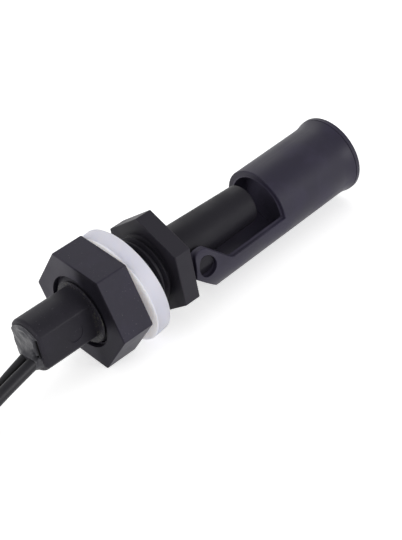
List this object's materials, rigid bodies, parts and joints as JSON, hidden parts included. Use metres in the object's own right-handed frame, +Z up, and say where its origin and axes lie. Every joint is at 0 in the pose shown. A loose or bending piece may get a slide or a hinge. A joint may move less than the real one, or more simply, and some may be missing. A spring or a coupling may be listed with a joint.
{
  "type": "float level switch",
  "caption": "Side-mounted float level switch: threaded plastic stem with hexagonal flange, hinged float on a reed switch tube, lock nut, sealing gasket and a flat two-core cord.",
  "frame": {"origin": "centre of the flange's rear sealing face, on the stem axis", "axes": "+X along the stem into the tank, +Z up as mounted with the float below the tube, +Y along the float's hinge"},
  "size_m": [0.2129, 0.056, 0.0264],
  "materials": {
    "housing_black": "moulded, satin",
    "nut_black": "moulded, fine grain",
    "gasket_white": "soft, matt",
    "float_black": "moulded, satin",
    "ferrite": "sintered, dull",
    "reed_glass": "clear, faint green",
    "reed_metal": "plated",
    "solder": "tinned",
    "copper_wire": "bare copper",
    "wire_jacket": "extruded, smooth",
    "resin_black": "cast, glossy",
    "cord_jacket": "extruded, satin",
    "tie_black": "soft plastic"
  },
  "bodies": {
    "stem": {"stem_body": "housing_black", "reed_glass": "reed_glass", "reed_blade_front": "reed_metal", "reed_blade_rear": "reed_metal", "solder_front": "solder", "solder_rear_low": "solder", "solder_rear_high": "solder", "return_wire": "copper_wire", "return_sleeve": "wire_jacket", "inner_core_low": "wire_jacket", "inner_core_high": "wire_jacket", "resin_fill": "resin_black", "cord_tube": "cord_jacket", "cord_hank": "cord_jacket", "hank_tie": "tie_black", "core_low": "wire_jacket", "core_high": "wire_jacket", "tinned_end_low": "solder", "tinned_end_high": "solder"},
    "float": {"float_shell": "float_black", "float_cap": "float_black", "float_magnet": "ferrite"},
    "gasket": {"gasket": "gasket_white"},
    "nut": {"lock_nut": "nut_black"}
  },
  "joints": [
    {"name": "float_hinge", "type": "hinge", "parent": "stem", "child": "float", "pos_m": [0.00937, 0, -0.00222], "axis": [0, 1, 0], "range_deg": [-14, 54]},
    {"name": "nut_travel", "type": "slide", "parent": "stem", "child": "gasket", "axis": [1, 0, 0], "range_m": [-0.006, 0.0043]},
    {"name": "nut_turn", "type": "hinge", "parent": "gasket", "child": "nut", "pos_m": [-0.0151, 0, 0], "axis": [1, 0, 0], "range_deg": [-1441, 1033]}
  ],
  "couplings": [
    {"joint": "nut_turn", "follows": "nut_travel", "rad_per_m": 4188.8}
  ]
}
